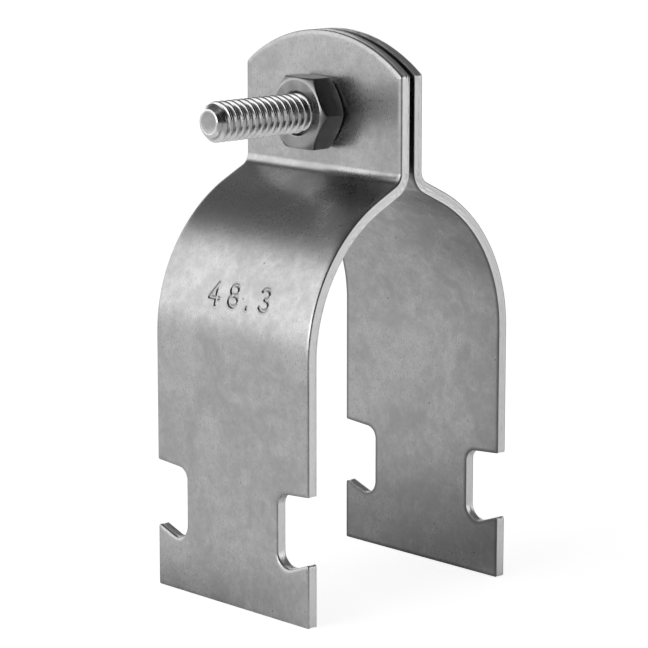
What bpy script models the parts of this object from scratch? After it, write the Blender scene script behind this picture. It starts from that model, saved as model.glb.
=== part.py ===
"""Channel clamp: a two-piece strap clamp that holds a pipe on a slotted channel.

Two mirror-image straps of flat steel strip stand face to face.  Each has an
upright ear with a rounded top, a sharp bend, a shoulder rolled to the pipe's
radius, a straight leg, and a foot set off from the leg by two edge notches
whose lower edges rise to hooks.  A hex-head screw passes through both ears and
a hex nut runs on its free end.

Units are metres.  +Z is up, X runs along the pipe, Y runs along the screw
(tip towards -Y).  The origin is on the floor, in the middle of the part's box.
"""

import math

import bpy
from mathutils import Matrix

MM = 0.001

# ---- strip and straps ------------------------------------------------------
STRIP_WIDTH = 34.9 * MM       # 1-3/8 in wide strip, along X
STRIP_THICK = 1.9 * MM        # 14 gauge sheet
PIPE_RADIUS = 24.13 * MM      # inside of the shoulder: 48.26 mm pipe
SHOULDER_DEG = 63.8           # arc rolled to the pipe, from the leg upwards
LEG_INNER_Y = 19.96 * MM      # mid plane to the inner face of a leg
LEG_LENGTH = 41.0 * MM        # foot to the start of the shoulder
EAR_GAP = 1.0 * MM            # between the two ears as they stand
BEND_RADIUS = 2.0 * MM        # hollow side of the bend below the ear
EAR_CORNER_Z = 41.75 * MM     # above the start of the shoulder
EAR_CROWN_Z = 47.73 * MM      # top of the rounded ear
HOLE_RADIUS = 3.97 * MM       # 5/16 in clearance hole in each ear

# ---- notches (distances from the strip's centre line and from the shoulder) --
NECK_HALF = 10.5 * MM         # half the neck between two notches
NOTCH_TOP_OUT = -20.45 * MM   # upper edge where it meets the strip's side
NOTCH_TOP_DEG = 4.1           # upper edge falls towards the neck
NOTCH_TOP_FILLET = 2.0 * MM
HOOK_TIP_Z = -30.95 * MM      # lower edge where it meets the strip's side
HOOK_DEG = 20.0               # lower edge falls towards the neck
HOOK_FILLET = 2.4 * MM

# ---- screw and nut -----------------------------------------------------------
SCREW_X = -0.45 * MM          # the screw sits a little off centre in its holes
SCREW_Z = 35.15 * MM          # above the start of the shoulder
SCREW_RADIUS = 3.175 * MM     # 1/4 in, thread pitch 1.27 mm
SCREW_LENGTH = 28.2 * MM      # 1-1/8 in nominal, under the head
TIP_RADIUS = 1.95 * MM
TIP_CHAMFER = 1.15 * MM
ACROSS_FLATS = 11.11 * MM     # 7/16 in, head and nut
HEAD_HEIGHT = 4.3 * MM
HEAD_TURN_DEG = 12.0
NUT_HEIGHT = 4.7 * MM
NUT_TURN_DEG = 1.0
NUT_BORE = SCREW_RADIUS + 0.3 * MM
SEAT_GAP = 0.3 * MM           # free play under the nut and under the head

# ---- facets ------------------------------------------------------------------
ARC_STEPS = 20
BEND_STEPS = 8
FILLET_STEPS = 6
CROWN_STEPS = 24
ROUND_STEPS = 40

EAR_FACE_Y = EAR_GAP / 2 + STRIP_THICK            # outer face of an ear
HEAD_SEAT_Y = EAR_FACE_Y + SEAT_GAP               # under the head
TIP_Y = HEAD_SEAT_Y - SCREW_LENGTH                # free end of the screw
MID_Y = -(TIP_Y + LEG_INNER_Y + STRIP_THICK) / 2  # puts the box's middle on Y = 0
SHOULDER_Z = LEG_LENGTH                           # start of the shoulder, floor at 0


def fillet(corner, before, after, radius, steps):
    """Points of an arc that rounds a corner between two straight lines."""
    ax, ay = before[0] - corner[0], before[1] - corner[1]
    bx, by = after[0] - corner[0], after[1] - corner[1]
    la, lb = math.hypot(ax, ay), math.hypot(bx, by)
    ax, ay, bx, by = ax / la, ay / la, bx / lb, by / lb
    half = math.acos(max(-1.0, min(1.0, ax * bx + ay * by))) / 2
    reach = radius / math.tan(half)
    mx, my = ax + bx, ay + by
    lm = math.hypot(mx, my)
    cx = corner[0] + mx / lm * radius / math.sin(half)
    cy = corner[1] + my / lm * radius / math.sin(half)
    start = math.atan2(corner[1] + ay * reach - cy, corner[0] + ax * reach - cx)
    end = math.atan2(corner[1] + by * reach - cy, corner[0] + bx * reach - cx)
    turn = (end - start + math.pi) % (2 * math.pi) - math.pi
    return [
        (cx + radius * math.cos(start + turn * k / steps),
         cy + radius * math.sin(start + turn * k / steps))
        for k in range(steps + 1)
    ]


def strip_line(offset):
    """One side of the bent strip, foot to ear, as (y, z) from the mid plane and
    the start of the shoulder.  offset is the distance from the inner face."""
    phi = math.radians(SHOULDER_DEG)
    centre_y = -LEG_INNER_Y + PIPE_RADIUS
    radius = PIPE_RADIUS + offset
    points = [(centre_y - radius, -LEG_LENGTH)]
    for k in range(ARC_STEPS + 1):
        a = phi * k / ARC_STEPS
        points.append((centre_y - radius * math.cos(a), radius * math.sin(a)))
    # the bend turns the strip from its slope to upright; its centre lies outside
    bend_y = -EAR_GAP / 2 - STRIP_THICK - BEND_RADIUS
    bend = BEND_RADIUS + STRIP_THICK - offset
    inner = BEND_RADIUS + STRIP_THICK
    run = (bend_y + inner * math.cos(phi)
           - (centre_y - PIPE_RADIUS * math.cos(phi))) / math.sin(phi)
    bend_z = (PIPE_RADIUS * math.sin(phi) + run * math.cos(phi)
              + inner * math.sin(phi))
    for k in range(BEND_STEPS + 1):
        b = -phi + phi * k / BEND_STEPS
        points.append((bend_y + bend * math.cos(b), bend_z + bend * math.sin(b)))
    points.append((bend_y + bend, EAR_CROWN_Z + 2 * MM))
    return points


def notch_outline(side):
    """Outline of one edge notch as (x, z), open past the strip's side."""
    out = STRIP_WIDTH / 2 + 3 * MM
    edge = STRIP_WIDTH / 2
    top = math.tan(math.radians(NOTCH_TOP_DEG))
    hook = math.tan(math.radians(HOOK_DEG))
    top_out = (out, NOTCH_TOP_OUT + top * (out - edge))
    top_in = (NECK_HALF, NOTCH_TOP_OUT - top * (edge - NECK_HALF))
    low_in = (NECK_HALF, HOOK_TIP_Z - hook * (edge - NECK_HALF))
    low_out = (out, HOOK_TIP_Z + hook * (out - edge))
    points = [top_out]
    points += fillet(top_in, top_out, low_in, NOTCH_TOP_FILLET, FILLET_STEPS)
    points += fillet(low_in, top_in, low_out, HOOK_FILLET, FILLET_STEPS)
    points.append(low_out)
    return [(side * x, z) for x, z in points]


def crown_outline():
    """Everything above the ear's rounded top, as (x, z)."""
    half = STRIP_WIDTH / 2
    rise = EAR_CROWN_Z - EAR_CORNER_Z
    radius = (half * half + rise * rise) / (2 * rise)
    centre = EAR_CROWN_Z - radius
    reach = half + 1.5 * MM
    points = []
    for k in range(CROWN_STEPS + 1):
        x = -reach + 2 * reach * k / CROWN_STEPS
        points.append((x, centre + math.sqrt(radius * radius - x * x)))
    points += [(reach, EAR_CROWN_Z + 8 * MM), (-reach, EAR_CROWN_Z + 8 * MM)]
    return points


def flat_solid(name, outline, thickness, rotation, location, collection, slide=0.0):
    """A 2D curve filled and extruded to a solid, made a mesh object."""
    curve = bpy.data.curves.new(name + "_outline", "CURVE")
    curve.dimensions = "2D"
    curve.fill_mode = "BOTH"
    curve.extrude = thickness / 2
    curve.resolution_u = 1
    curve.render_resolution_u = 0
    spline = curve.splines.new("POLY")
    spline.points.add(len(outline) - 1)
    for point, (u, v) in zip(spline.points, outline):
        point.co = (u, v, 0.0, 1.0)
    spline.use_cyclic_u = True
    guide = bpy.data.objects.new(name + "_guide", curve)
    bpy.context.scene.collection.objects.link(guide)
    guide.rotation_euler = rotation
    guide.location = location
    bpy.context.view_layer.update()
    graph = bpy.context.evaluated_depsgraph_get()
    mesh = bpy.data.meshes.new_from_object(guide.evaluated_get(graph))
    solid = bpy.data.objects.new(name, mesh)
    solid.matrix_world = guide.matrix_world.copy()
    mesh.name = name
    weld(mesh)
    mesh.transform(Matrix.Translation((0.0, 0.0, slide)))
    collection.objects.link(solid)
    bpy.data.objects.remove(guide)
    bpy.data.curves.remove(curve)
    return solid


def weld(mesh):
    import bmesh
    bm = bmesh.new()
    bm.from_mesh(mesh)
    bmesh.ops.remove_doubles(bm, verts=bm.verts, dist=0.000001)
    bmesh.ops.recalc_face_normals(bm, faces=bm.faces)
    bm.to_mesh(mesh)
    bm.free()


def turned(name, profile, rotation, location, collection):
    """A solid of revolution: (radius, height) points from top to bottom."""
    mesh = bpy.data.meshes.new(name)
    mesh.from_pydata(
        [(r, 0.0, h) for r, h in profile],
        [(k, k + 1) for k in range(len(profile) - 1)],
        [],
    )
    solid = bpy.data.objects.new(name, mesh)
    collection.objects.link(solid)
    solid.rotation_euler = rotation
    solid.location = location
    screw = solid.modifiers.new("turn", "SCREW")
    screw.axis = "Z"
    screw.steps = ROUND_STEPS
    screw.render_steps = ROUND_STEPS
    screw.use_merge_vertices = True
    screw.merge_threshold = 0.00001
    screw.use_smooth_shade = True
    return solid


def hexagon(name, height, turn_deg, centre, collection):
    """A hexagonal prism along Y, flats up and down when turn_deg is 0."""
    bpy.ops.mesh.primitive_cylinder_add(
        vertices=6, radius=ACROSS_FLATS / math.sqrt(3), depth=height,
        location=centre, rotation=(math.radians(90), math.radians(30 + turn_deg), 0.0),
    )
    prism = bpy.context.active_object
    prism.name = name
    prism.data.name = name
    for other in list(prism.users_collection):
        other.objects.unlink(prism)
    collection.objects.link(prism)
    return prism


def boolean(target, cutter, operation):
    modifier = target.modifiers.new(operation.lower() + "_" + cutter.name, "BOOLEAN")
    modifier.operation = operation
    modifier.object = cutter
    return modifier


def as_cutter(obj):
    obj.hide_render = True
    obj.display_type = "WIRE"


def material(name, colour, roughness, metallic):
    made = bpy.data.materials.new(name)
    made.use_nodes = True
    shader = made.node_tree.nodes["Principled BSDF"]
    shader.inputs["Base Color"].default_value = (*colour, 1.0)
    shader.inputs["Roughness"].default_value = roughness
    shader.inputs["Metallic"].default_value = metallic
    return made


def strap(name, side, finish, parts, cutters):
    """One strap half: side -1 is the front one, +1 the rear one.  Its object's
    origin is on the screw's axis, in the mid plane."""
    inner = strip_line(0.0)
    outer = strip_line(STRIP_THICK)
    outline = inner + outer[::-1]
    if side > 0:
        outline = [(-y, z) for y, z in outline][::-1]
    origin = (SCREW_X, MID_Y, SHOULDER_Z + SCREW_Z)
    outline = [(y, z - SCREW_Z) for y, z in outline]
    half = flat_solid(
        name, outline, STRIP_WIDTH, (math.radians(90), 0.0, math.radians(90)),
        origin, parts, slide=-SCREW_X,
    )
    upright = (math.radians(90), 0.0, 0.0)
    leg_y = MID_Y + side * (LEG_INNER_Y + STRIP_THICK / 2)
    for tag, hand in (("left", -1), ("right", 1)):
        cutter = flat_solid(
            f"{name}_notch_{tag}", notch_outline(hand), 3 * STRIP_THICK, upright,
            (0.0, leg_y, SHOULDER_Z), cutters,
        )
        as_cutter(cutter)
        boolean(half, cutter, "DIFFERENCE")
    ear_y = MID_Y + side * (EAR_GAP + STRIP_THICK) / 2
    crown = flat_solid(
        f"{name}_crown", crown_outline(), 2 * STRIP_THICK, upright,
        (0.0, ear_y, SHOULDER_Z), cutters,
    )
    as_cutter(crown)
    boolean(half, crown, "DIFFERENCE")
    bpy.ops.mesh.primitive_cylinder_add(
        vertices=ROUND_STEPS, radius=HOLE_RADIUS, depth=2 * STRIP_THICK,
        location=(0.0, ear_y, SHOULDER_Z + SCREW_Z), rotation=upright,
    )
    hole = bpy.context.active_object
    hole.name = f"{name}_hole"
    for other in list(hole.users_collection):
        other.objects.unlink(hole)
    cutters.objects.link(hole)
    as_cutter(hole)
    boolean(half, hole, "DIFFERENCE")
    half.data.materials.clear()
    half.data.materials.append(finish)
    half.data.shade_smooth()
    half.data.set_sharp_from_angle(angle=math.radians(30))
    return half


def chamfer_envelope(name, height, far_chamfer, location, cutters):
    """Round blank that trims a hexagon's corners at 30 degrees; the free end
    points to local +Z."""
    corner = ACROSS_FLATS / math.sqrt(3) + 0.3 * MM
    face = ACROSS_FLATS / 2 * 0.965
    drop = (corner - face) * math.tan(math.radians(30))
    profile = [(0.0, height / 2), (face, height / 2), (corner, height / 2 - drop)]
    if far_chamfer:
        profile += [(corner, -height / 2 + drop), (face, -height / 2)]
    else:
        profile += [(corner, -height / 2)]
    profile.append((0.0, -height / 2))
    blank = turned(name, profile, (math.radians(90), 0.0, 0.0), location, cutters)
    as_cutter(blank)
    return blank


def build():
    for obj in list(bpy.data.objects):
        bpy.data.objects.remove(obj, do_unlink=True)
    scene = bpy.context.scene
    parts = bpy.data.collections.new("channel_clamp")
    cutters = bpy.data.collections.new("cutters")
    scene.collection.children.link(parts)
    scene.collection.children.link(cutters)

    sheet_front = material("front_strap_steel", (0.52, 0.52, 0.51), 0.42, 0.9)
    sheet_rear = material("rear_strap_steel", (0.48, 0.48, 0.47), 0.45, 0.9)
    bright = material("screw_steel", (0.62, 0.62, 0.60), 0.28, 1.0)
    plated = material("nut_steel", (0.56, 0.56, 0.55), 0.25, 1.0)

    strap("front_half", -1, sheet_front, parts, cutters)
    strap("rear_half", 1, sheet_rear, parts, cutters)

    axis_z = SHOULDER_Z + SCREW_Z
    along = (math.radians(90), 0.0, 0.0)      # local +Z looks towards -Y

    # screw: origin on its axis, under the head
    seat = (SCREW_X, MID_Y + HEAD_SEAT_Y, axis_z)
    shank = turned(
        "screw",
        [
            (0.0, SCREW_LENGTH),
            (TIP_RADIUS, SCREW_LENGTH),
            (SCREW_RADIUS, SCREW_LENGTH - TIP_CHAMFER),
            (SCREW_RADIUS, -HEAD_HEIGHT / 2),
            (0.0, -HEAD_HEIGHT / 2),
        ],
        along, seat, parts,
    )
    head_at = (SCREW_X, MID_Y + HEAD_SEAT_Y + HEAD_HEIGHT / 2, axis_z)
    head = hexagon("screw_head", HEAD_HEIGHT, HEAD_TURN_DEG, head_at, cutters)
    as_cutter(head)
    trim = chamfer_envelope("screw_head_trim", HEAD_HEIGHT, False, head_at, cutters)
    trim.rotation_euler = (math.radians(-90), 0.0, 0.0)   # free end looks to +Y
    boolean(head, trim, "INTERSECT")
    boolean(shank, head, "UNION")
    shank.data.materials.append(bright)

    # nut: origin on its axis, at its middle
    nut_at = (SCREW_X, MID_Y - EAR_FACE_Y - SEAT_GAP - NUT_HEIGHT / 2, axis_z)
    nut = hexagon("nut", NUT_HEIGHT, NUT_TURN_DEG, nut_at, parts)
    trim = chamfer_envelope("nut_trim", NUT_HEIGHT, True, nut_at, cutters)
    boolean(nut, trim, "INTERSECT")
    bpy.context.view_layer.update()
    bore = turned(
        "nut_bore",
        [
            (0.0, NUT_HEIGHT / 2 + 1 * MM),
            (NUT_BORE + 1.55 * MM, NUT_HEIGHT / 2 + 1 * MM),
            (NUT_BORE, NUT_HEIGHT / 2 - 0.55 * MM),
            (NUT_BORE, -NUT_HEIGHT / 2 - 1 * MM),
            (0.0, -NUT_HEIGHT / 2 - 1 * MM),
        ],
        along, nut_at, cutters,
    )
    as_cutter(bore)
    boolean(nut, bore, "DIFFERENCE")
    nut.data.materials.append(plated)


build()
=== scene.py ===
import math

import bmesh
import bpy
import numpy as np
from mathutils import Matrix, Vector
from mathutils.geometry import delaunay_2d_cdt


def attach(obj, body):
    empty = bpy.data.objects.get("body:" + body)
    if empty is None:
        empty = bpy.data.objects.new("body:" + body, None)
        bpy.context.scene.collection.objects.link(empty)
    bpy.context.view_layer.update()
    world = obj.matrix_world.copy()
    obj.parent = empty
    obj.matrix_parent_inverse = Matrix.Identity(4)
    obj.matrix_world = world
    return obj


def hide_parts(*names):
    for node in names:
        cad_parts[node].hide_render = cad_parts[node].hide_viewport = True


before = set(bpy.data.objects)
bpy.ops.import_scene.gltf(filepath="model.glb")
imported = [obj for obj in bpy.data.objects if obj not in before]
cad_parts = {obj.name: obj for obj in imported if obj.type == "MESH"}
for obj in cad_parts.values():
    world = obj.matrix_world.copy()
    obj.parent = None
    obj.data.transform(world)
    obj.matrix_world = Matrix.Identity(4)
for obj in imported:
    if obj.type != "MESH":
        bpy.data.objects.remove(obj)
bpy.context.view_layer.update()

# ---------------------------------------------------------------------------
# Sizes, in millimetres.  Row frame: floor at z 0, X along the pipe, Y along the
# screw, whose free end points to -Y.
# ---------------------------------------------------------------------------
WIDTH = 34.9            # strip
THICK = 1.9
PIPE_R = 24.13          # inside of the rolled shoulder
PHI = math.radians(63.8)
LEG_Y = 19.96           # mid plane to a leg's inner face
LEG = 41.0              # foot to the start of the shoulder
EAR_GAP = 1.0
BEND_R = 2.0
EAR_CORNER = 41.75      # above the start of the shoulder
EAR_CROWN = 47.73
HOLE_R = 3.97
NECK = 10.5
NOTCH_TOP = -20.45
NOTCH_TOP_DEG = 4.1
NOTCH_TOP_R = 2.0
HOOK_TIP = -30.95
HOOK_DEG = 20.0
HOOK_R = 2.4
SCREW_X = -0.45
SCREW_Z = 35.15
SCREW_R = 3.175
PITCH = 1.27
FLATS = 11.11
MID_Y = 1.82

AXIS_Z = LEG + SCREW_Z
TIP_Y = -23.68          # free end of the screw
SEAT_Y = 4.52           # under the head
HEAD_TOP_Y = 8.82
NUT_FRONT_Y = -5.58
NUT_BACK_Y = -0.88

MM = 0.001


# ---------------------------------------------------------------------------
# Small helpers
# ---------------------------------------------------------------------------
def smooth(a, b, x):
    t = np.clip((x - a) / (b - a), 0.0, 1.0)
    return t * t * (3 - 2 * t)


def fillet(corner, before, after, radius, steps):
    ax, ay = before[0] - corner[0], before[1] - corner[1]
    bx, by = after[0] - corner[0], after[1] - corner[1]
    la, lb = math.hypot(ax, ay), math.hypot(bx, by)
    ax, ay, bx, by = ax / la, ay / la, bx / lb, by / lb
    half = math.acos(max(-1.0, min(1.0, ax * bx + ay * by))) / 2
    reach = radius / math.tan(half)
    mx, my = ax + bx, ay + by
    lm = math.hypot(mx, my)
    cx = corner[0] + mx / lm * radius / math.sin(half)
    cy = corner[1] + my / lm * radius / math.sin(half)
    start = math.atan2(corner[1] + ay * reach - cy, corner[0] + ax * reach - cx)
    end = math.atan2(corner[1] + by * reach - cy, corner[0] + bx * reach - cx)
    turn = (end - start + math.pi) % (2 * math.pi) - math.pi
    return [(cx + radius * math.cos(start + turn * k / steps),
             cy + radius * math.sin(start + turn * k / steps)) for k in range(steps + 1)]


def waves(points, scale, seed, count=14):
    """Smooth sum of sines over 2D or 3D points, about -1 to 1."""
    r = np.random.default_rng(seed)
    out = np.zeros(len(points))
    for _ in range(count):
        d = r.normal(size=points.shape[1])
        d /= np.linalg.norm(d)
        out += np.sin(points @ d * (2 * math.pi / (scale * r.uniform(0.7, 1.5))) + r.uniform(0, 6.28))
    return out / math.sqrt(count)


def build_mesh(name, verts_mm, faces, attributes=None, sharp_deg=None):
    mesh = bpy.data.meshes.new(name)
    mesh.from_pydata([tuple(v) for v in np.asarray(verts_mm) * MM], [], [tuple(int(i) for i in f) for f in faces])
    mesh.update()
    for key, values in (attributes or {}).items():
        values = np.asarray(values, np.float32)
        if values.ndim == 1:
            a = mesh.attributes.new(key, "FLOAT", "POINT")
            a.data.foreach_set("value", values)
        else:
            a = mesh.attributes.new(key, "FLOAT_VECTOR", "POINT")
            a.data.foreach_set("vector", values.ravel())
    bm = bmesh.new()
    bm.from_mesh(mesh)
    bmesh.ops.remove_doubles(bm, verts=bm.verts, dist=2e-7)
    bmesh.ops.dissolve_degenerate(bm, edges=bm.edges, dist=1e-7)
    bmesh.ops.recalc_face_normals(bm, faces=bm.faces)
    bm.to_mesh(mesh)
    bm.free()
    mesh.shade_smooth()
    if sharp_deg:
        mesh.set_sharp_from_angle(angle=math.radians(sharp_deg))
    obj = bpy.data.objects.new(name, mesh)
    bpy.context.scene.collection.objects.link(obj)
    return obj


# ---------------------------------------------------------------------------
# Straps: modelled flat as (x, s, t), then bent.  s runs along the strip from
# the foot, t from the inner face (0) to the outer face (THICK).
# ---------------------------------------------------------------------------
ARC_Y = -LEG_Y + PIPE_R
BEND_Y = -EAR_GAP / 2 - THICK - BEND_R
RUN = (BEND_Y + (BEND_R + THICK) * math.cos(PHI) - (ARC_Y - PIPE_R * math.cos(PHI))) / math.sin(PHI)
BEND_Z = PIPE_R * math.sin(PHI) + RUN * math.cos(PHI) + (BEND_R + THICK) * math.sin(PHI)
R_MID = PIPE_R + THICK / 2
B_MID = BEND_R + THICK / 2
S1 = LEG
S2 = S1 + R_MID * PHI
S3 = S2 + RUN
S4 = S3 + B_MID * PHI
S_CORNER = S4 + EAR_CORNER - BEND_Z
S_CROWN = S4 + EAR_CROWN - BEND_Z
S_HOLE = S4 + SCREW_Z - BEND_Z


def bend(flat, side):
    """Flat (x, s, t) to the row frame.  side -1 is the front strap."""
    x, s, t = flat[:, 0], flat[:, 1], flat[:, 2]
    a = np.clip((s - S1) / R_MID, 0.0, PHI)
    y = ARC_Y - (PIPE_R + t) * np.cos(a)
    z = (PIPE_R + t) * np.sin(a)
    z = z + np.minimum(s - S1, 0.0)
    run = np.clip(s - S2, 0.0, RUN)
    y = y + run * math.sin(PHI)
    z = z + run * math.cos(PHI)
    b = -PHI + np.clip((s - S3) / B_MID, 0.0, PHI)
    over = s > S3
    y = np.where(over, BEND_Y + (BEND_R + THICK - t) * np.cos(b), y)
    z = np.where(over, BEND_Z + (BEND_R + THICK - t) * np.sin(b) + np.maximum(s - S4, 0.0), z)
    if side > 0:
        y = -y
    return np.stack([x, y + MID_Y, z + LEG], axis=1)


def strip_outline():
    """Closed outline of the flat strip, counter-clockwise from the foot."""
    half = WIDTH / 2
    top = math.tan(math.radians(NOTCH_TOP_DEG))
    hook = math.tan(math.radians(HOOK_DEG))
    out = half + 3
    low_out = (out, LEG + HOOK_TIP + hook * (out - half))
    low_in = (NECK, LEG + HOOK_TIP - hook * (half - NECK))
    top_in = (NECK, LEG + NOTCH_TOP - top * (half - NECK))
    top_out = (out, LEG + NOTCH_TOP + top * (out - half))
    hook_tip = (half, LEG + HOOK_TIP)
    shelf = (half, LEG + NOTCH_TOP)
    right = [(0.0, 0.0)]
    right += fillet((half, 0.0), (0.0, 0.0), hook_tip, 0.25, 5)
    right += fillet(hook_tip, (half, 0.0), low_in, 0.35, 6)
    right += fillet(low_in, low_out, top_in, HOOK_R, 18)
    right += fillet(top_in, low_in, top_out, NOTCH_TOP_R, 16)
    right += fillet(shelf, top_in, (half, S_CORNER), 0.25, 5)
    rise = EAR_CROWN - EAR_CORNER
    radius = (half * half + rise * rise) / (2 * rise)
    centre = S_CROWN - radius
    edge_x = half - 0.75
    start = (edge_x + 0.3, centre + math.sqrt(radius ** 2 - (edge_x + 0.3) ** 2))
    right += fillet((half, S_CORNER - 0.05), shelf, start, 0.6, 7)
    for k in range(1, 40):
        x = edge_x * (1 - k / 40)
        right.append((x, centre + math.sqrt(radius ** 2 - x * x)))
    right.append((0.0, S_CROWN))
    left = [(-x, s) for x, s in right[1:-1]][::-1]
    return right + left


def dense(loop):
    """Adds points on long sides: closely through the bend, less so elsewhere."""
    out = []
    n = len(loop)
    for i in range(n):
        a, b = np.array(loop[i]), np.array(loop[(i + 1) % n])
        length = np.linalg.norm(b - a)
        pos, marks = 0.0, [0.0]
        while pos < length:
            s = a[1] + (b[1] - a[1]) * pos / length
            along = abs(b[1] - a[1]) / length
            if S3 - 0.4 < s < S4 + 0.4 and along > 0.5:
                step = 0.13
            elif S1 - 1 < s < S2 + 1:
                step = 0.4
            else:
                step = 0.5
            pos += step
            marks.append(min(pos, length))
        if len(marks) > 2 and marks[-1] - marks[-2] < 0.3 * (marks[-2] - marks[-3]):
            marks.pop(-2)
        for m in marks[:-1]:
            out.append(a + (b - a) * m / length)
    return np.array(out)


def loop_normals(loop):
    """Unit normals of a counter-clockwise loop, into its inside."""
    d = np.roll(loop, -1, 0) - loop
    d /= np.linalg.norm(d, axis=1)[:, None]
    n = np.stack([-d[:, 1], d[:, 0]], 1)
    n = n + np.roll(n, 1, 0)
    return n / np.linalg.norm(n, axis=1)[:, None]


def distance_to(points, loops):
    best = np.full(len(points), 1e9)
    for loop in loops:
        a = loop
        d = np.roll(loop, -1, 0) - loop
        dd = (d * d).sum(1)
        for i in range(0, len(points), 2000):
            p = points[i:i + 2000]
            v = p[:, None, :] - a[None]
            t = np.clip((v * d[None]).sum(2) / dd[None], 0, 1)
            q = v - t[..., None] * d[None]
            best[i:i + 2000] = np.minimum(best[i:i + 2000], np.sqrt((q * q).sum(2)).min(1))
    return best


def inside(points, loop):
    """Even-odd test of points against a closed loop."""
    x, y = points[:, 0], points[:, 1]
    hit = np.zeros(len(points), bool)
    for (ax, ay), (bx, by) in zip(loop, np.roll(loop, -1, 0)):
        if ay == by:
            continue
        cross = (ay > y) != (by > y)
        hit ^= cross & (x < (bx - ax) * (y - ay) / (by - ay) + ax)
    return hit


# generic size figures: four plain strokes sets in a box 1 wide and 1 high
def arc_pts(cx, cy, rx, ry, a0, a1, n=20):
    return [(cx + rx * math.cos(math.radians(a0 + (a1 - a0) * k / n)),
             cy + ry * math.sin(math.radians(a0 + (a1 - a0) * k / n))) for k in range(n + 1)]


FIGURES = {
    "4": [[(0.66, 0.0), (0.66, 1.0), (0.02, 0.30), (0.98, 0.30)]],
    "8": [arc_pts(0.5, 0.755, 0.36, 0.245, 0, 360, 28), arc_pts(0.5, 0.255, 0.43, 0.255, 0, 360, 28)],
    "3": [arc_pts(0.46, 0.755, 0.38, 0.245, 150, -90, 20) + arc_pts(0.46, 0.255, 0.44, 0.255, 90, -150, 22)],
    ".": [[(0.5, 0.0), (0.5, 0.03)]],
}
STAMP_H = 3.3
STAMP_W = 2.4
STAMP_S = S1 + R_MID * math.radians(18.4)
STAMP_TEXT = [("4", -5.9), ("8", -1.6), (".", 1.6), ("3", 5.4)]


def stamp_segments():
    segs = []
    for figure, x0 in STAMP_TEXT:
        for line in FIGURES[figure]:
            pts = [(x0 + u * STAMP_W, STAMP_S + (v - 0.5) * STAMP_H + 0.035 * (x0 - 1.85)) for u, v in line]
            segs += list(zip(pts[:-1], pts[1:]))
    return np.array(segs)


def stamp_depth(points):
    segs = stamp_segments()
    best = np.full(len(points), 1e9)
    for a, b in segs:
        d = b - a
        t = np.clip(((points - a) @ d) / max(d @ d, 1e-9), 0, 1)
        q = points - a - t[:, None] * d
        best = np.minimum(best, np.sqrt((q * q).sum(1)))
    groove = 0.26 * (1 - smooth(0.07, 0.33, best))
    lip = 0.035 * np.exp(-((best - 0.42) / 0.11) ** 2)
    return groove - lip


def strap_face(loops, rings, height, grid, keep_out=None):
    """Points and triangles of one face.  loops[0] is the outline and the rest
    are holes; the first points returned are the loops' own, in order."""
    bounds_pts = np.concatenate(loops)
    extra = []
    for k, loop in enumerate(loops):
        normals = loop_normals(loop) * (1 if k == 0 else -1)
        for d in rings[1:]:
            p = loop + normals * d
            ok = distance_to(p, loops) > d * 0.985
            extra.append(p[ok])
    limit = rings[-1] + 0.3
    g = grid[inside(grid, loops[0])]
    for hole in loops[1:]:
        g = g[~inside(g, hole)]
    g = g[distance_to(g, loops) > limit]
    if keep_out is not None:
        x0, x1, s0, s1, fine = keep_out
        m = 0.15
        out = (g[:, 0] < x0 - m) | (g[:, 0] > x1 + m) | (g[:, 1] < s0 - m) | (g[:, 1] > s1 + m)
        g = np.concatenate([g[out], fine])
    points = np.concatenate([bounds_pts] + extra + [g])
    edges, start = [], 0
    for loop in loops:
        n = len(loop)
        edges += [(start + i, start + (i + 1) % n) for i in range(n)]
        start += n
    co, _, faces, origin, _, _ = delaunay_2d_cdt([Vector(p) for p in points], edges, [], 0, 1e-6, True)
    co = np.array([tuple(c) for c in co])
    order = {}
    for i, ids in enumerate(origin):
        for j in ids:
            order[j] = i
    tri = np.array([tuple(f) for f in faces])
    mid = co[tri].mean(1)
    ok = inside(mid, loops[0])
    for hole in loops[1:]:
        ok &= ~inside(mid, hole)
    tri = tri[ok]
    boundary = [order[i] for i in range(len(bounds_pts))]
    d = distance_to(co, loops)
    d[boundary] = 0.0
    flat = np.column_stack([co, height(co, d)])
    return flat, tri, boundary, d


ROLL_W, ROLL_D = 0.85, 0.30       # die roll on the outer face
BURR_W, BURR_D = 0.10, 0.07       # broken edge on the inner face


def quarter(d, width, depth):
    """Fall of a rounded edge at distance d from it."""
    u = np.clip(d / width, 0, 1)
    return depth * (1 - np.sqrt(np.clip(1 - (1 - u) ** 2.2, 0, 1)))


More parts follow.
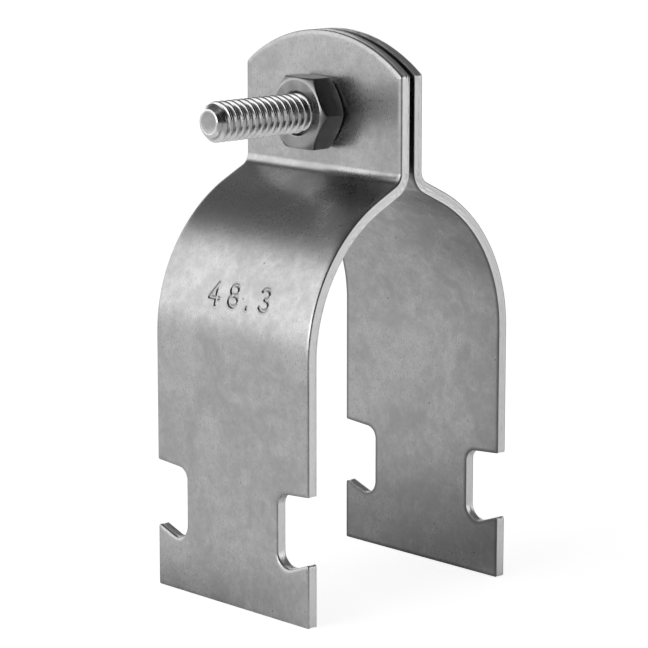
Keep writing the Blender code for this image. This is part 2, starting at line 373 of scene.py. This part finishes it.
def make_strap(name, side, stamped):
    outline = dense(strip_outline())
    hole = np.array([(HOLE_R * math.cos(2 * math.pi * k / 96),
                      S_HOLE + HOLE_R * math.sin(2 * math.pi * k / 96)) for k in range(96)])
    hole[:, 0] += SCREW_X
    loops = [outline, hole]

    s_lines = list(np.arange(0.6, S1 - 0.5, 0.9)) + list(np.arange(S1 - 0.4, S3 - 0.3, 0.55))
    s_lines += list(np.arange(S3 - 0.25, S4 + 0.3, 0.11)) + list(np.arange(S4 + 0.5, S_CROWN, 0.9))
    xs = np.linspace(-WIDTH / 2 + 0.6, WIDTH / 2 - 0.6, 34)
    grid = np.array([(x, s) for s in s_lines for x in xs])
    low = waves(grid, 3.0, 3)[:, None] * 0.02
    grid = grid + low * np.array([1.0, 0.0])

    def ripple(co):
        base = 0.014 * waves(co, 16.0, 11 + side) + 0.006 * waves(co, 6.0, 21 + side)
        return base

    def outer_height(co, d):
        t = THICK - quarter(d, ROLL_W, ROLL_D) + ripple(co) * smooth(0.0, 1.5, d) - 0.02
        if stamped:
            t = t - stamp_depth(co) * (d > 1.2)
        return t

    def inner_height(co, d):
        return quarter(d, BURR_W, BURR_D) + (ripple(co) + 0.02) * smooth(0.0, 1.5, d)

    roll_rings = [0.0] + [ROLL_W * u for u in (0.02, 0.07, 0.16, 0.3, 0.5, 0.74, 1.0)]
    burr_rings = [0.0, 0.015, 0.05, 0.1, 0.6]
    keep_out = None
    if stamped:
        x0, x1, s0, s1 = -6.6, 8.5, STAMP_S - 2.4, STAMP_S + 2.4
        fx = np.arange(x0, x1 + 1e-6, 0.085)
        fs = np.arange(s0, s1 + 1e-6, 0.085)
        fine = np.array([(x, s) for s in fs for x in fx])
        keep_out = (x0, x1, s0, s1, fine)
    top, top_tri, top_b, top_d = strap_face(loops, roll_rings, outer_height, grid, keep_out)
    low_, low_tri, low_b, low_d = strap_face(loops, burr_rings, inner_height, grid)

    verts = [top, low_]
    edge = [top_d, low_d]
    faces = [tuple(t) for t in top_tri] + [tuple(t + len(top)) for t in low_tri]
    count = len(top) + len(low_)
    start = 0
    # sheared wall: burnished land, then a torn zone that falls back a little
    for k, loop in enumerate(loops):
        n = len(loop)
        normals = loop_normals(loop) * (1 if k == 0 else -1)
        t_top, t_low = THICK - ROLL_D - 0.02, BURR_D
        levels = np.concatenate([np.linspace(t_top, t_top - 0.55, 4)[1:],
                                 np.linspace(t_top - 0.55, t_low, 12)[1:-1]])
        previous = np.array(top_b[start:start + n])
        run = np.cumsum(np.linalg.norm(np.roll(loop, -1, 0) - loop, axis=1))
        # the land's lower edge wanders along the cut
        wander = 0.10 * waves(run[:, None], 5.0, 31 + k + side) + 0.05 * waves(run[:, None], 1.3, 41 + k + side)
        for t in levels:
            t_here = np.full(n, t)
            below = t_top - 0.5 + wander - t
            torn = smooth(0.0, 0.12, below) * smooth(-0.02, 0.25, t - t_low)
            rough = waves(np.stack([run, np.full(n, t * 3)], 1), 1.1, 51 + k + side, 24)
            inset = torn * (0.045 + 0.03 * rough) + 0.004 * np.abs(waves(np.stack([run, np.full(n, t)], 1), 0.9, 61))
            p = loop + normals * np.maximum(inset, 0.0)[:, None]
            verts.append(np.column_stack([p, t_here]))
            edge.append(np.full(n, -1.0))
            ids = np.arange(count, count + n)
            for i in range(n):
                j = (i + 1) % n
                faces.append((previous[i], previous[j], ids[j], ids[i]))
            previous = ids
            count += n
        last = np.array(low_b[start:start + n]) + len(top)
        for i in range(n):
            j = (i + 1) % n
            faces.append((previous[i], previous[j], last[j], last[i]))
        start += n
    flat = np.concatenate(verts)
    edge = np.concatenate(edge)
    obj = build_mesh(name, bend(flat, side), faces, {"flat": flat, "edge": np.minimum(edge, 4.0)})
    return obj


# ---------------------------------------------------------------------------
# Threads and hexagons.  Angle is right-handed about +Y: x = r sin, z = r cos.
# ---------------------------------------------------------------------------
def angles(turn_deg, plain=66):
    base = list(np.linspace(0, 360, plain, endpoint=False))
    for c in range(6):
        corner = 30 + turn_deg + 60 * c
        base = [a for a in base if abs((a - corner + 180) % 360 - 180) > 2.4]
        base += [(corner + d) % 360 for d in (-2.0, -1.2, -0.6, 0.0, 0.6, 1.2, 2.0)]
    return np.radians(np.array(sorted(base)))


def hex_radius(theta, turn_deg, inset=0.0, round_r=0.16):
    """Radius of a hexagon with slightly rounded corners, flats up and down."""
    apothem = FLATS / 2 - inset
    rel = (np.degrees(theta) - turn_deg - 30 + 30) % 60 - 30
    delta = np.radians(np.abs(rel))
    centre = (apothem - round_r) / math.cos(math.radians(30))
    tangent = math.atan2(round_r * math.sin(math.radians(30)), centre + round_r * math.cos(math.radians(30)))
    rounded = centre * np.cos(delta) + np.sqrt(np.maximum(round_r ** 2 - (centre * np.sin(delta)) ** 2, 0))
    flat = apothem / np.cos(math.radians(30) - delta)
    return np.where(delta < tangent, rounded, flat)


def thread_form(u, major, minor):
    """Radius of a 60 degree thread at phase u, crest at a whole number."""
    u = np.abs((u + 0.5) % 1.0 - 0.5)
    crest, root = 0.066, 0.405
    t = np.clip((u - crest) / (root - crest), 0, 1)
    t = t + 0.055 * np.sin(2 * np.pi * t) * -1.0
    r = major - (major - minor) * t
    r = r - 0.035 * np.clip(u / crest, 0, 1) ** 2 * (u < crest) - 0.035 * (u >= crest) * np.clip(1 - t * 6, 0, 1)
    return r


PHASES = [-0.066, -0.035, 0.0, 0.035, 0.066, 0.12, 0.19, 0.26, 0.33, 0.385, 0.42, 0.46, 0.5, 0.54, 0.58, 0.615,
          0.67, 0.74, 0.81, 0.88]
THREAD_REF = TIP_Y + 0.62


def ring_faces(a, b, n):
    return [(a + i, a + (i + 1) % n, b + (i + 1) % n, b + i) for i in range(n)]


def helix_faces(start, count, n, per_turn):
    """Rows that climb one pitch a turn: the last column of each joins the
    first column of the row a turn further on."""
    faces = []
    for j in range(start, start + count - 1):
        a, b = j * n, (j + 1) * n
        faces += [(a + i, a + i + 1, b + i + 1, b + i) for i in range(n - 1)]
        if j + 1 + per_turn < start + count:
            faces.append((a + n - 1, a + per_turn * n, b + per_turn * n, b + n - 1))
    return faces


def make_screw():
    turn = 12.0
    theta = angles(turn)
    n = len(theta)
    major, minor = SCREW_R - 0.03, 2.41
    thread_end = SEAT_Y - 0.9
    rows = []       # (r array, y array)

    def cone(y):
        return 1.98 + (y - TIP_Y) * (SCREW_R - 1.9) / 1.2

    def ring(r, y):
        rows.append((np.full(n, float(r)) if np.isscalar(r) else r, np.full(n, float(y)) if np.isscalar(y) else y))

    # end face: sheared blank end, slightly dished, with a soft raised rim
    for r, y in ((0.25, 0.16), (0.6, 0.155), (1.0, 0.14), (1.35, 0.105), (1.6, 0.06), (1.78, 0.015), (1.9, 0.0)):
        ring(r, TIP_Y + y)
    ring(1.965, TIP_Y + 0.02)
    ring(2.01, TIP_Y + 0.07)
    first = TIP_Y + 0.08
    turns = int((thread_end - first) / PITCH) + 3
    helix = len(rows)
    for k in range(-2, turns + 1):
        for u in PHASES:
            y = THREAD_REF + PITCH * (k + u + theta / (2 * math.pi))
            y = np.clip(y, first, thread_end)
            phase = (y - THREAD_REF) / PITCH - theta / (2 * math.pi)
            r = thread_form(phase, major, minor)
            # rolled crests carry a faint seam, and small handling nicks
            nick = 0.012 * waves(np.stack([np.sin(theta) * 3, np.cos(theta) * 3, y], 1), 2.2, 71)
            r = r + nick * (r > 2.9)
            away = smooth(thread_end - 1.4, thread_end, y)
            r = r * (1 - away) + 2.78 * away
            c = cone(y)
            r = np.minimum(r, c)
            rows.append((r, y))
    helix_rows = len(rows) - helix
    # neck, fillet, washer face, head
    ring(2.78, thread_end)
    ring(2.78, SEAT_Y - 0.35)
    for k in range(1, 5):
        a = math.radians(90 * k / 4)
        ring(2.78 + 0.3 * (1 - math.cos(a)), SEAT_Y - 0.35 + 0.3 * math.sin(a) + 0.05 * k / 4)
    ring(3.3, SEAT_Y + 0.005)
    ring(5.12, SEAT_Y + 0.005)
    ring(5.18, SEAT_Y + 0.05)
    ring(5.2, SEAT_Y + 0.24)
    hexa = hex_radius(theta, turn)
    small = hex_radius(theta, turn, inset=0.12)
    ring(np.minimum(small, 5.26), SEAT_Y + 0.26)
    ring(small, SEAT_Y + 0.28)
    ring(hex_radius(theta, turn, inset=0.04), SEAT_Y + 0.34)
    ring(hexa, SEAT_Y + 0.46)
    ring(hexa, SEAT_Y + 1.6)
    face = FLATS / 2 * 0.965
    drop = np.maximum((hexa - face) * math.tan(math.radians(30)), 0.0)
    top = HEAD_TOP_Y
    ring(hexa, top - 0.16 - drop)
    ring(hexa - 0.03, top - 0.07 - drop)
    mid = face + (hexa - face) * 0.5
    ring(mid, top - 0.03 - np.maximum((mid - face) * math.tan(math.radians(30)), 0))
    ring(face, top - 0.02)
    ring(face - 0.12, top - 0.003)
    ring(face - 0.5, top)
    # shallow dished centre of a cold-formed head
    ring(3.9, top)
    ring(3.6, top - 0.03)
    ring(3.35, top - 0.16)
    ring(3.1, top - 0.28)
    ring(2.8, top - 0.32)
    ring(1.5, top - 0.34)
    ring(0.3, top - 0.345)

    verts, faces, root = [], [], []
    for r, y in rows:
        verts.append(np.stack([SCREW_X + r * np.sin(theta), y, AXIS_Z + r * np.cos(theta)], 1))
        threaded = (y > TIP_Y + 0.5) & (y < SEAT_Y - 0.5)
        # painted shade: dark in the thread roots, and the end face darkened as well
        root.append(np.maximum(np.clip((2.74 - r) / 0.30, 0, 1) * threaded, 0.80 * (y < TIP_Y + 0.2) * (r < 1.75)))
    m = len(rows)
    for k in range(m - 1):
        if not helix <= k < helix + helix_rows - 1:
            faces += ring_faces(k * n, (k + 1) * n, n)
    faces += helix_faces(helix, helix_rows, n, len(PHASES))
    verts = np.concatenate(verts)
    root = np.concatenate(root)
    tip = len(verts)
    verts = np.concatenate([verts, [[SCREW_X, TIP_Y + 0.16, AXIS_Z], [SCREW_X, top - 0.345, AXIS_Z]]])
    # the end face's centre point carries the same painted shade
    root = np.concatenate([root, [0.80, 0.0]])
    faces += [(tip, (i + 1) % n, i) for i in range(n)]
    last = (m - 1) * n
    faces += [(tip + 1, last + i, last + (i + 1) % n) for i in range(n)]
    return build_mesh("screw_detail", verts, faces, {"painted_shade": root})


def make_nut():
    turn = 1.0
    theta = angles(turn, 90)
    n = len(theta)
    hexa = hex_radius(theta, turn)
    face = FLATS / 2 * 0.955
    slope = math.tan(math.radians(30))
    front, back = NUT_FRONT_Y, NUT_BACK_Y
    rows = []

    def ring(r, y):
        rows.append((np.full(n, float(r)) if np.isscalar(r) else r, np.full(n, float(y)) if np.isscalar(y) else y))

    major, minor = SCREW_R + 0.12, 2.70
    sink = 3.62

    def bore(y):
        phase = (y - THREAD_REF) / PITCH - theta / (2 * math.pi)
        r = np.maximum(thread_form(phase, major, 2.58), minor)
        r = np.maximum(r, sink - (y - front) * 1.0)
        r = np.maximum(r, sink - (back - y) * 1.0)
        return r

    turns = int((back - front) / PITCH) + 3
    start = math.floor((front - THREAD_REF) / PITCH) - 1
    for k in range(start - 1, start + turns + 2):
        for u in PHASES:
            y = np.clip(THREAD_REF + PITCH * (k + u + theta / (2 * math.pi)), front + 0.02, back - 0.02)
            rows.append((bore(y), y))
    helix_rows = len(rows)
    # rear face, chamfer, flats, chamfer, front face
    for end, sign in ((back, -1), (front, 1)):
        block = [
            (sink + 0.03, end + sign * 0.004),
            (sink + 0.12, end),
            (face - 0.25, end),
            (face - 0.04, end + sign * 0.012),
            (face + 0.05, end + sign * (0.03 + 0.02)),
        ]
        over = np.maximum(hexa - face, 0.0)
        block += [
            (face + over * 0.5, end + sign * (0.03 + over * 0.5 * slope)),
            (face + over * 0.97 - 0.01, end + sign * (0.03 + over * 0.97 * slope)),
            (hexa - 0.02, end + sign * (0.05 + over * slope)),
            (hexa, end + sign * (0.12 + over * slope)),
        ]
        if sign > 0:
            block = block[::-1]
        for r, y in block:
            ring(r, y)
        if sign < 0:
            ring(hexa, (front + back) / 2 + 0.6)
            ring(hexa, (front + back) / 2 - 0.6)
    verts, faces, root = [], [], []
    for r, y in rows:
        verts.append(np.stack([SCREW_X + r * np.sin(theta), y, AXIS_Z + r * np.cos(theta)], 1))
        # painted shade: darker in the thread, and darker still on the six flats than on the machined faces
        flats_painted_shade = smooth(0.10, 0.35, np.minimum(y - front, back - y)) * (r > 5.0)
        root.append(np.clip((r - 2.6) / 0.4, 0, 1) * (r < 3.5) + 0.95 * flats_painted_shade)
    m = len(rows)
    for k in range(helix_rows - 1, m):
        faces += ring_faces(k * n, ((k + 1) % m) * n, n)
    faces += helix_faces(0, helix_rows, n, len(PHASES))
    return build_mesh("nut_detail", np.concatenate(verts), faces, {"painted_shade": np.concatenate(root)})


# ---------------------------------------------------------------------------
# Materials, all made of shader nodes
# ---------------------------------------------------------------------------
class Nodes:
    def __init__(self, name):
        self.material = bpy.data.materials.new(name)
        self.material.use_nodes = True
        self.tree = self.material.node_tree
        self.shader = self.tree.nodes["Principled BSDF"]

    def new(self, kind, **values):
        node = self.tree.nodes.new(kind)
        for key, value in values.items():
            if hasattr(node, key):
                setattr(node, key, value)
        return node

    def link(self, a, b):
        self.tree.links.new(a, b)

    def set(self, socket, value):
        if isinstance(value, bpy.types.NodeSocket):
            self.link(value, socket)
        else:
            socket.default_value = value

    def attribute(self, name, output="Vector"):
        node = self.new("ShaderNodeAttribute")
        node.attribute_name = name
        return node.outputs[output]

    def math(self, operation, a, b=0.0, clamp=False):
        node = self.new("ShaderNodeMath")
        node.operation = operation
        node.use_clamp = clamp
        self.set(node.inputs[0], a)
        self.set(node.inputs[1], b)
        return node.outputs[0]

    def scaled(self, vector, scale, offset=(0, 0, 0)):
        node = self.new("ShaderNodeMapping")
        self.link(vector, node.inputs["Vector"])
        node.inputs["Scale"].default_value = scale
        node.inputs["Location"].default_value = offset
        return node.outputs[0]

    def noise(self, vector, scale, detail=4.0, rough=0.55, distortion=0.0):
        node = self.new("ShaderNodeTexNoise")
        self.link(vector, node.inputs["Vector"])
        node.inputs["Scale"].default_value = scale
        node.inputs["Detail"].default_value = detail
        node.inputs["Roughness"].default_value = rough
        node.inputs["Distortion"].default_value = distortion
        return node.outputs[0]

    def voronoi(self, vector, scale, feature="F1", randomness=1.0, output="Distance"):
        node = self.new("ShaderNodeTexVoronoi")
        node.feature = feature
        self.link(vector, node.inputs["Vector"])
        node.inputs["Scale"].default_value = scale
        node.inputs["Randomness"].default_value = randomness
        return node.outputs[output]

    def ramp(self, value, low, high, out_low=0.0, out_high=1.0, kind="SMOOTHSTEP"):
        node = self.new("ShaderNodeMapRange")
        node.interpolation_type = kind
        self.set(node.inputs["Value"], value)
        node.inputs["From Min"].default_value = low
        node.inputs["From Max"].default_value = high
        node.inputs["To Min"].default_value = out_low
        node.inputs["To Max"].default_value = out_high
        return node.outputs["Result"]

    def mix(self, factor, a, b):
        node = self.new("ShaderNodeMix")
        node.data_type = "RGBA"
        self.set(node.inputs[0], factor)
        self.set(node.inputs[6], a)
        self.set(node.inputs[7], b)
        return node.outputs[2]

    def bump(self, height, strength, distance, normal=None):
        node = self.new("ShaderNodeBump")
        node.inputs["Strength"].default_value = strength
        node.inputs["Distance"].default_value = distance
        self.link(height, node.inputs["Height"])
        if normal is not None:
            self.link(normal, node.inputs["Normal"])
        return node.outputs[0]


def grey(v, warm=0.0):
    return (v * (1 + warm), v, v * (1 - warm), 1.0)


def sheet_material(name, offset, tone, rim_painted_shade):
    """Satin plated sheet.  'flat' holds (x, s, t) of the unrolled strip in mm,
    'edge' the distance from the cut edge, or -1 on the sheared wall."""
    m = Nodes(name)
    m.shader.inputs["Metallic"].default_value = 1.0
    flat = m.scaled(m.attribute("flat"), (1, 1, 1), offset)
    edge = m.attribute("edge", "Fac")
    wall = m.ramp(edge, -0.02, -0.5, 0, 1, "LINEAR")

    cloud = m.noise(flat, 0.075, 4.0, 0.62, 0.8)
    blot = m.noise(flat, 0.5, 5.0, 0.7, 0.3)
    grain = m.noise(m.scaled(flat, (1.6, 0.8, 1.6)), 2.0, 4.0, 0.6)
    fine = m.noise(flat, 6.0, 2.0, 0.5)
    tone_a = m.math("ADD", m.math("MULTIPLY", cloud, 0.55), m.math("MULTIPLY", blot, 0.45))
    base = m.mix(m.ramp(tone_a, 0.36, 0.64), grey(tone * 0.84), grey(tone * 1.12))
    base = m.mix(m.ramp(grain, 0.46, 0.36, 0.0, 0.45), base, grey(tone * 0.68))
    # small dark pits and specks
    pit_d = m.voronoi(flat, 0.42)
    pit_on = m.ramp(m.noise(flat, 0.5, 2.0), 0.52, 0.60)
    pit = m.math("MULTIPLY", m.ramp(pit_d, 0.10, 0.03), pit_on)
    speck = m.math("MULTIPLY", m.ramp(m.voronoi(flat, 1.1), 0.13, 0.06), m.ramp(m.noise(flat, 0.9, 2.0), 0.56, 0.62))
    dirt = m.math("MAXIMUM", m.math("MULTIPLY", pit, 0.8), m.math("MULTIPLY", speck, 0.35))
    base = m.mix(dirt, base, grey(0.10, 0.02))
    # the sheared wall is fresh, brighter metal with a torn zone, and part of its brightness is a painted highlight
    wall_metal_and_highlight = m.mix(m.noise(m.scaled(flat, (1.5, 1.5, 4.0)), 1.2, 4.0), grey(tone * 1.35), grey(tone * 1.70))
    base = m.mix(wall, base, wall_metal_and_highlight)

    # long faint scratches in three directions
    s1 = m.voronoi(m.scaled(flat, (1.2, 0.05, 1.0), (3, 7, 0)), 1.0, "DISTANCE_TO_EDGE")
    rot = m.new("ShaderNodeVectorRotate")
    rot.rotation_type = "Z_AXIS"
    rot.inputs["Angle"].default_value = 0.9
    m.link(flat, rot.inputs["Vector"])
    s2 = m.voronoi(m.scaled(rot.outputs[0], (0.7, 0.04, 1.0), (1, 2, 0)), 1.0, "DISTANCE_TO_EDGE")
    rot2 = m.new("ShaderNodeVectorRotate")
    rot2.rotation_type = "Z_AXIS"
    rot2.inputs["Angle"].default_value = -0.45
    m.link(flat, rot2.inputs["Vector"])
    s3 = m.voronoi(m.scaled(rot2.outputs[0], (0.5, 0.03, 1.0), (5, 1, 0)), 1.0, "DISTANCE_TO_EDGE")
    scratch = m.math("MAXIMUM", m.ramp(s1, 0.03, 0.0), m.math("MAXIMUM", m.ramp(s2, 0.022, 0.0), m.ramp(s3, 0.018, 0.0)))
    scratch = m.math("MULTIPLY", scratch, m.ramp(m.noise(flat, 0.25, 2.0), 0.50, 0.66))
    scratch = m.math("MULTIPLY", scratch, m.math("SUBTRACT", 1.0, wall))
    base = m.mix(m.math("MULTIPLY", scratch, 0.28), base, grey(tone * 1.35))
    # painted shade: a dark band along the rolled-over rim beside the cut edge, much stronger on the rear strap
    rim = m.math("MULTIPLY", m.ramp(edge, 0.15, 0.75, 1.0, 0.0), m.math("SUBTRACT", 1.0, wall))
    base = m.mix(m.math("MULTIPLY", rim, rim_painted_shade), base, grey(tone * 0.35))
    m.link(base, m.shader.inputs["Base Color"])

    rough = m.ramp(tone_a, 0.3, 0.7, 0.33, 0.25)
    rough = m.math("ADD", rough, m.math("MULTIPLY", m.math("SUBTRACT", grain, 0.5), 0.12))
    rough = m.math("ADD", rough, m.math("MULTIPLY", dirt, 0.25))
    rough = m.math("ADD", rough, m.math("MULTIPLY", scratch, 0.02))
    rough = m.math("ADD", rough, m.math("MULTIPLY", wall, 0.08), clamp=True)
    m.link(rough, m.shader.inputs["Roughness"])

    height = m.math("ADD", m.math("MULTIPLY", blot, 0.6), m.math("MULTIPLY", grain, 0.10))
    height = m.math("ADD", height, m.math("MULTIPLY", fine, 0.06))
    height = m.math("SUBTRACT", height, m.math("MULTIPLY", dirt, 0.12))
    torn_noise = m.noise(m.scaled(flat, (3.0, 3.0, 6.0)), 1.0, 5.0, 0.7)
    height = m.math("ADD", height, m.math("MULTIPLY", wall, torn_noise))
    m.link(m.bump(height, 0.5, 0.00003), m.shader.inputs["Normal"])
    return m.material


def hardware_material(name, tone, painted_shade_tone, rough_lo, rough_hi):
    """Bright plating; a vertex mask paints shade, darkening the thread's roots, the screw's end face and the nut's
    flats.
    """
    m = Nodes(name)
    m.shader.inputs["Metallic"].default_value = 1.0
    coord = m.new("ShaderNodeTexCoord").outputs["Object"]
    mm = m.scaled(coord, (1000, 1000, 1000))
    root = m.attribute("painted_shade", "Fac")
    cloud = m.noise(mm, 0.5, 4.0, 0.6)
    fine = m.noise(mm, 3.0, 4.0, 0.6)
    base = m.mix(m.ramp(cloud, 0.35, 0.65), grey(tone * 0.88), grey(tone * 1.08))
    base = m.mix(m.math("MULTIPLY", m.ramp(fine, 0.60, 0.72), 0.35), base, grey(tone * 0.5))
    # painted shade: the mask pulls the plating towards a dark grey
    base = m.mix(m.math("MULTIPLY", root, 0.6), base, grey(painted_shade_tone, 0.02))
    m.link(base, m.shader.inputs["Base Color"])
    rough = m.ramp(cloud, 0.3, 0.7, rough_lo, rough_hi)
    rough = m.math("ADD", rough, m.math("MULTIPLY", root, 0.15), clamp=True)
    m.link(rough, m.shader.inputs["Roughness"])
    m.link(m.bump(m.math("ADD", cloud, m.math("MULTIPLY", fine, 0.4)), 0.35, 0.00004), m.shader.inputs["Normal"])
    return m.material


def floor_material():
    m = Nodes("floor_paper")
    coord = m.new("ShaderNodeTexCoord").outputs["Object"]
    cloud = m.noise(coord, 6.0, 3.0)
    m.link(m.mix(cloud, (0.90, 0.90, 0.90, 1), (0.93, 0.93, 0.93, 1)), m.shader.inputs["Base Color"])
    m.link(m.bump(m.noise(coord, 900.0, 2.0), 0.05, 0.0002), m.shader.inputs["Normal"])
    m.shader.inputs["Roughness"].default_value = 0.85
    m.shader.inputs["Specular IOR Level"].default_value = 0.1
    m.shader.inputs["Emission Color"].default_value = (1.0, 1.0, 1.0, 1.0)
    path = m.new("ShaderNodeLightPath")
    # the sweep glows softly, less so in the shade close to the object
    away = m.new("ShaderNodeVectorMath")
    away.operation = "LENGTH"
    m.link(m.scaled(coord, (1, 1, 1), (0.014, -0.006, 0.0)), away.inputs[0])
    lit = m.ramp(away.outputs["Value"], 0.022, 0.050, 0.0, 0.34)
    # and less so towards the open front right
    unit = m.new("ShaderNodeVectorMath")
    unit.operation = "NORMALIZE"
    m.link(m.scaled(coord, (1, 1, 1), (-0.03, 0.02, 0.0)), unit.inputs[0])
    side = m.new("ShaderNodeVectorMath")
    side.operation = "DOT_PRODUCT"
    m.link(unit.outputs["Vector"], side.inputs[0])
    side.inputs[1].default_value = (0.75, -0.66, 0.0)
    lit = m.math("MULTIPLY", lit, m.ramp(side.outputs["Value"], 0.45, 0.80, 1.0, 0.15))
    seen = path.outputs["Is Camera Ray"]
    glow = m.math("ADD", m.math("MULTIPLY", seen, 0.78), m.math("MULTIPLY", m.math("SUBTRACT", 1.0, seen), lit))
    m.link(glow, m.shader.inputs["Emission Strength"])
    return m.material


# ---------------------------------------------------------------------------
# Pieces
# ---------------------------------------------------------------------------
front = make_strap("front_strap", -1, True)
rear = make_strap("rear_strap", 1, False)
screw = make_screw()
nut = make_nut()

# the last figure is the strength of the painted shade along the rim: faint on the front strap, strong on the rear
front.data.materials.append(sheet_material("sheet_front", (0, 0, 0), 0.57, 0.15))
rear.data.materials.append(sheet_material("sheet_rear", (40, 13, 5), 0.52, 0.75))
# lit and shaded copies of one plating: the screw's tone is raised as a painted highlight, the nut's lowered as painted
# shade
screw.data.materials.append(hardware_material("screw_plating", 0.86, 0.08, 0.14, 0.21))
nut.data.materials.append(hardware_material("nut_plating", 0.40, 0.06, 0.18, 0.28))

for piece, node, slot in (
    (front, "front_half", "strap_steel"),
    (rear, "rear_half", "strap_steel"),
    (screw, "screw", "screw_steel"),
    (nut, "nut", "nut_steel"),
):
    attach(piece, node)
    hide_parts(node)

# ---------------------------------------------------------------------------
# Floor, light, camera
# ---------------------------------------------------------------------------
floor_mesh = bpy.data.meshes.new("floor")
bm = bmesh.new()
bmesh.ops.create_grid(bm, x_segments=8, y_segments=8, size=3.0)
bm.to_mesh(floor_mesh)
bm.free()
floor = bpy.data.objects.new("floor", floor_mesh)
floor_mesh.materials.append(floor_material())
bpy.context.scene.collection.objects.link(floor)


TENT, DARK = 1.22, 0.10

# a white tent all round, up to about 25 degrees at the back and twice as high
# in front, open and dark above and towards the front right
world = bpy.data.worlds.new("studio")
bpy.context.scene.world = world
world.use_nodes = True
wt = world.node_tree
coord = wt.nodes.new("ShaderNodeTexCoord")
split = wt.nodes.new("ShaderNodeSeparateXYZ")
wt.links.new(coord.outputs["Generated"], split.inputs[0])


def world_ramp(value, low, high, out_low, out_high):
    node = wt.nodes.new("ShaderNodeMapRange")
    node.interpolation_type = "SMOOTHSTEP"
    wt.links.new(value, node.inputs["Value"])
    for key, number in (("From Min", low), ("From Max", high), ("To Min", out_low), ("To Max", out_high)):
        node.inputs[key].default_value = number
    return node.outputs["Result"]


def world_math(operation, a, b):
    node = wt.nodes.new("ShaderNodeMath")
    node.operation = operation
    for socket, value in zip(node.inputs, (a, b)):
        if isinstance(value, bpy.types.NodeSocket):
            wt.links.new(value, socket)
        else:
            socket.default_value = value
    return node.outputs[0]


ahead = world_math("MINIMUM", split.outputs["Y"], 0.0)
height = world_math("ADD", split.outputs["Z"], world_math("MULTIPLY", ahead, 0.5))
wall_light = world_ramp(height, 0.24, 0.56, TENT, DARK)
behind = world_math("MAXIMUM", split.outputs["Y"], 0.0)
facing = world_math("SUBTRACT", world_math("MULTIPLY", split.outputs["X"], 0.985),
                    world_math("ADD", world_math("MULTIPLY", ahead, 0.174), world_math("MULTIPLY", behind, 1.2)))
facing = world_math("ADD", facing, world_math("MULTIPLY", split.outputs["Z"], 0.35))
open_side = world_ramp(facing, 0.40, 0.60, 1.0, 0.01)
# a brighter lamp panel straight ahead, low down
panel = world_math("MULTIPLY", world_ramp(split.outputs["X"], -0.36, -0.22, 0.0, 1.0),
                   world_ramp(split.outputs["X"], 0.08, 0.24, 1.0, 0.0))
panel = world_math("MULTIPLY", panel, world_ramp(split.outputs["Z"], -0.04, 0.02, 0.0, 1.0))
panel = world_math("MULTIPLY", panel, world_ramp(split.outputs["Z"], 0.26, 0.40, 1.0, 0.0))
panel = world_math("MULTIPLY", panel, world_ramp(ahead, -0.85, -0.60, 1.6, 0.0))
strength = world_math("ADD", world_math("MULTIPLY", wall_light, open_side), panel)
wt.links.new(strength, wt.nodes["Background"].inputs["Strength"])
wt.nodes["Background"].inputs["Color"].default_value = (1, 1, 1, 1)

camera_data = bpy.data.cameras.new("camera")
camera_data.sensor_width = 36.0
camera_data.lens = 161.99
camera_data.clip_start = 0.02
camera_data.clip_end = 20.0
camera = bpy.data.objects.new("camera", camera_data)
bpy.context.scene.collection.objects.link(camera)
bpy.context.scene.camera = camera
target = Vector((0.0, -0.05, 42.21)) * MM
azimuth, elevation, away = math.radians(46.45), math.radians(11.07), 460.99 * MM
back = Vector((math.sin(azimuth) * math.cos(elevation), -math.cos(azimuth) * math.cos(elevation), math.sin(elevation)))
camera.location = target + back * away
camera.rotation_mode = "QUATERNION"
camera.rotation_quaternion = (-back).to_track_quat("-Z", "Y")

view = bpy.context.scene.view_settings
view.view_transform = "Standard"
view.look = "None"
view.exposure = 0.0
view.gamma = 1.0
